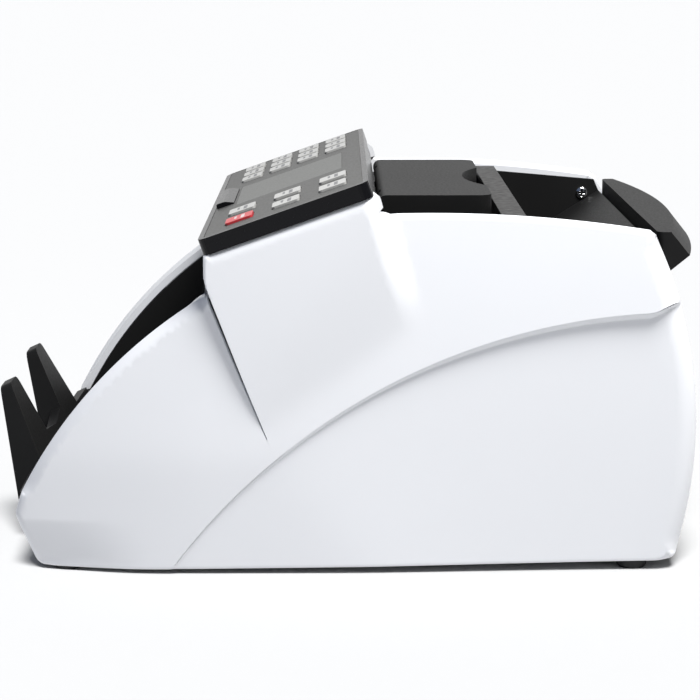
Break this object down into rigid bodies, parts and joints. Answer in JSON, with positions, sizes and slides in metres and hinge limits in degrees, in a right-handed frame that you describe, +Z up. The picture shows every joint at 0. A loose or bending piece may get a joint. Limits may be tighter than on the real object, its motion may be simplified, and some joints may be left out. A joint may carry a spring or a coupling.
{
  "type": "banknote counter",
  "caption": "Desktop banknote counter with white side covers, sloped black keypad panel, rear hopper with hinged feed cover and front stacker with pronged stop.",
  "frame": {"origin": "middle of the bounding box's bottom, on the plane the feet rest on", "axes": "+X to the operator's right, +Y from the stacker towards the hopper, +Z up"},
  "size_m": [0.245, 0.313, 0.1685],
  "materials": {
    "cover_white": "smooth",
    "black_plastic": "satin",
    "overlay_grey": "satin",
    "gate_metal": "satin",
    "display_window": "smooth",
    "circuit_board": "satin",
    "plated_steel": "satin",
    "shaft_steel": "smooth",
    "chrome_screw": "polished",
    "roller_rubber": "matt",
    "wheel_plastic": "satin",
    "key_grey": "satin",
    "key_red": "satin"
  },
  "bodies": {
    "chassis": {"base_pan": "plated_steel", "side_frame_left": "plated_steel", "side_frame_right": "plated_steel", "side_cover_left": "cover_white", "side_cover_right": "cover_white", "front_apron": "cover_white", "back_cover": "cover_white", "stacker_tray": "black_plastic", "stacker_back_plate": "black_plastic", "stacker_stop": "black_plastic", "hopper_tray": "black_plastic", "hopper_rest": "black_plastic", "feed_gate": "gate_metal", "panel_housing": "black_plastic", "keypad_overlay": "overlay_grey", "lcd_window": "display_window", "display_board": "circuit_board", "main_board": "circuit_board", "power_supply": "plated_steel", "power_inlet": "black_plastic", "main_motor": "plated_steel", "stacker_motor": "plated_steel", "shaft_bearings": "shaft_steel", "retard_beam": "plated_steel", "drive_belts": "roller_rubber", "rubber_feet": "roller_rubber", "case_screws": "plated_steel", "hopper_screws": "chrome_screw"},
    "feed_drive": {"feed_shaft": "shaft_steel", "feed_rollers": "roller_rubber"},
    "pickup_drive": {"pickup_shaft": "shaft_steel", "pickup_rollers": "roller_rubber"},
    "transport_drive": {"transport_roller": "roller_rubber"},
    "stacker_drive": {"stacker_shaft": "shaft_steel", "stacker_wheels": "wheel_plastic"},
    "main_motor_rotor": {"main_motor_pulley": "shaft_steel"},
    "stacker_motor_rotor": {"stacker_motor_pulley": "shaft_steel"},
    "retard_unit": {"retard_carriage": "wheel_plastic", "retard_rollers": "roller_rubber"},
    "thickness_knob": {"adjust_knob": "black_plastic"},
    "feed_lid": {"feed_cover": "black_plastic"},
    "power_switch": {"power_rocker": "black_plastic"},
    "key_left_r1_c1": {"key_left_r1_c1": "key_grey"},
    "key_left_r1_c2": {"key_left_r1_c2": "key_grey"},
    "key_left_r1_c3": {"key_left_r1_c3": "key_grey"},
    "key_left_r2_c1": {"key_left_r2_c1": "key_grey"},
    "key_left_r2_c2": {"key_left_r2_c2": "key_grey"},
    "key_left_r2_c3": {"key_left_r2_c3": "key_grey"},
    "key_left_r3_c1": {"key_left_r3_c1": "key_grey"},
    "key_left_r3_c2": {"key_left_r3_c2": "key_grey"},
    "key_left_r3_c3": {"key_left_r3_c3": "key_grey"},
    "key_left_r4_c1": {"key_left_r4_c1": "key_grey"},
    "key_left_r4_c2": {"key_left_r4_c2": "key_grey"},
    "key_left_r4_c3": {"key_left_r4_c3": "key_grey"},
    "key_right_r1_c1": {"key_right_r1_c1": "key_grey"},
    "start_key": {"start_key": "key_red"},
    "key_right_r2_c1": {"key_right_r2_c1": "key_grey"},
    "key_right_r2_c2": {"key_right_r2_c2": "key_grey"},
    "key_right_r3_c1": {"key_right_r3_c1": "key_grey"},
    "key_right_r3_c2": {"key_right_r3_c2": "key_grey"}
  },
  "joints": [
    {"name": "feed_spin", "type": "hinge", "parent": "chassis", "child": "feed_drive", "pos_m": [0, 0.07206, 0.07759], "axis": [1, 0, 0], "continuous": true},
    {"name": "pickup_spin", "type": "hinge", "parent": "chassis", "child": "pickup_drive", "pos_m": [0, 0.10932, 0.10853], "axis": [1, 0, 0], "continuous": true},
    {"name": "transport_spin", "type": "hinge", "parent": "chassis", "child": "transport_drive", "pos_m": [0, 0.02206, 0.05759], "axis": [1, 0, 0], "continuous": true},
    {"name": "main_motor_spin", "type": "hinge", "parent": "chassis", "child": "main_motor_rotor", "pos_m": [0, 0.08406, 0.03359], "axis": [1, 0, 0], "continuous": true},
    {"name": "stacker_spin", "type": "hinge", "parent": "chassis", "child": "stacker_drive", "pos_m": [0, -0.0515, 0.053], "axis": [1, 0, 0], "continuous": true},
    {"name": "stacker_motor_spin", "type": "hinge", "parent": "chassis", "child": "stacker_motor_rotor", "pos_m": [0, -0.0015, 0.031], "axis": [1, 0, 0], "continuous": true},
    {"name": "knob_turn", "type": "hinge", "parent": "chassis", "child": "thickness_knob", "pos_m": [0, 0.05415, 0.13225], "axis": [0, 0, 1], "range_deg": [-180, 180]},
    {"name": "retard_adjust", "type": "slide", "parent": "chassis", "child": "retard_unit", "axis": [0, 0, 1], "range_m": [-0.00035, 0.00035]},
    {"name": "feed_lid_hinge", "type": "hinge", "parent": "chassis", "child": "feed_lid", "pos_m": [0, 0.01768, 0.1533], "axis": [1, 0, 0], "range_deg": [0, 80]},
    {"name": "power_rock", "type": "hinge", "parent": "chassis", "child": "power_switch", "pos_m": [-0.024, 0.1475, 0.036], "axis": [1, 0, 0], "range_deg": [0, 16]},
    {"name": "key_left_r1_c1_press", "type": "slide", "parent": "chassis", "child": "key_left_r1_c1", "axis": [0, 0.3305, -0.9438], "range_m": [0, 0.0005], "stiffness_N_per_m": 400, "springref_m": -0.001},
    {"name": "key_left_r1_c2_press", "type": "slide", "parent": "chassis", "child": "key_left_r1_c2", "axis": [0, 0.3305, -0.9438], "range_m": [0, 0.0005], "stiffness_N_per_m": 400, "springref_m": -0.001},
    {"name": "key_left_r1_c3_press", "type": "slide", "parent": "chassis", "child": "key_left_r1_c3", "axis": [0, 0.3305, -0.9438], "range_m": [0, 0.0005], "stiffness_N_per_m": 400, "springref_m": -0.001},
    {"name": "key_left_r2_c1_press", "type": "slide", "parent": "chassis", "child": "key_left_r2_c1", "axis": [0, 0.3305, -0.9438], "range_m": [0, 0.0005], "stiffness_N_per_m": 400, "springref_m": -0.001},
    {"name": "key_left_r2_c2_press", "type": "slide", "parent": "chassis", "child": "key_left_r2_c2", "axis": [0, 0.3305, -0.9438], "range_m": [0, 0.0005], "stiffness_N_per_m": 400, "springref_m": -0.001},
    {"name": "key_left_r2_c3_press", "type": "slide", "parent": "chassis", "child": "key_left_r2_c3", "axis": [0, 0.3305, -0.9438], "range_m": [0, 0.0005], "stiffness_N_per_m": 400, "springref_m": -0.001},
    {"name": "key_left_r3_c1_press", "type": "slide", "parent": "chassis", "child": "key_left_r3_c1", "axis": [0, 0.3305, -0.9438], "range_m": [0, 0.0005], "stiffness_N_per_m": 400, "springref_m": -0.001},
    {"name": "key_left_r3_c2_press", "type": "slide", "parent": "chassis", "child": "key_left_r3_c2", "axis": [0, 0.3305, -0.9438], "range_m": [0, 0.0005], "stiffness_N_per_m": 400, "springref_m": -0.001},
    {"name": "key_left_r3_c3_press", "type": "slide", "parent": "chassis", "child": "key_left_r3_c3", "axis": [0, 0.3305, -0.9438], "range_m": [0, 0.0005], "stiffness_N_per_m": 400, "springref_m": -0.001},
    {"name": "key_left_r4_c1_press", "type": "slide", "parent": "chassis", "child": "key_left_r4_c1", "axis": [0, 0.3305, -0.9438], "range_m": [0, 0.0005], "stiffness_N_per_m": 400, "springref_m": -0.001},
    {"name": "key_left_r4_c2_press", "type": "slide", "parent": "chassis", "child": "key_left_r4_c2", "axis": [0, 0.3305, -0.9438], "range_m": [0, 0.0005], "stiffness_N_per_m": 400, "springref_m": -0.001},
    {"name": "key_left_r4_c3_press", "type": "slide", "parent": "chassis", "child": "key_left_r4_c3", "axis": [0, 0.3305, -0.9438], "range_m": [0, 0.0005], "stiffness_N_per_m": 400, "springref_m": -0.001},
    {"name": "key_right_r1_c1_press", "type": "slide", "parent": "chassis", "child": "key_right_r1_c1", "axis": [0, 0.3305, -0.9438], "range_m": [0, 0.0005], "stiffness_N_per_m": 400, "springref_m": -0.001},
    {"name": "start_key_press", "type": "slide", "parent": "chassis", "child": "start_key", "axis": [0, 0.3305, -0.9438], "range_m": [0, 0.0005], "stiffness_N_per_m": 400, "springref_m": -0.001},
    {"name": "key_right_r2_c1_press", "type": "slide", "parent": "chassis", "child": "key_right_r2_c1", "axis": [0, 0.3305, -0.9438], "range_m": [0, 0.0005], "stiffness_N_per_m": 400, "springref_m": -0.001},
    {"name": "key_right_r2_c2_press", "type": "slide", "parent": "chassis", "child": "key_right_r2_c2", "axis": [0, 0.3305, -0.9438], "range_m": [0, 0.0005], "stiffness_N_per_m": 400, "springref_m": -0.001},
    {"name": "key_right_r3_c1_press", "type": "slide", "parent": "chassis", "child": "key_right_r3_c1", "axis": [0, 0.3305, -0.9438], "range_m": [0, 0.0005], "stiffness_N_per_m": 400, "springref_m": -0.001},
    {"name": "key_right_r3_c2_press", "type": "slide", "parent": "chassis", "child": "key_right_r3_c2", "axis": [0, 0.3305, -0.9438], "range_m": [0, 0.0005], "stiffness_N_per_m": 400, "springref_m": -0.001}
  ],
  "couplings": [
    {"joint": "pickup_spin", "follows": "feed_spin", "ratio": 1},
    {"joint": "transport_spin", "follows": "feed_spin", "ratio": 1.75},
    {"joint": "main_motor_spin", "follows": "feed_spin", "ratio": 2},
    {"joint": "stacker_motor_spin", "follows": "stacker_spin", "ratio": 2.5},
    {"joint": "knob_turn", "follows": "retard_adjust", "rad_per_m": 8975.9}
  ]
}
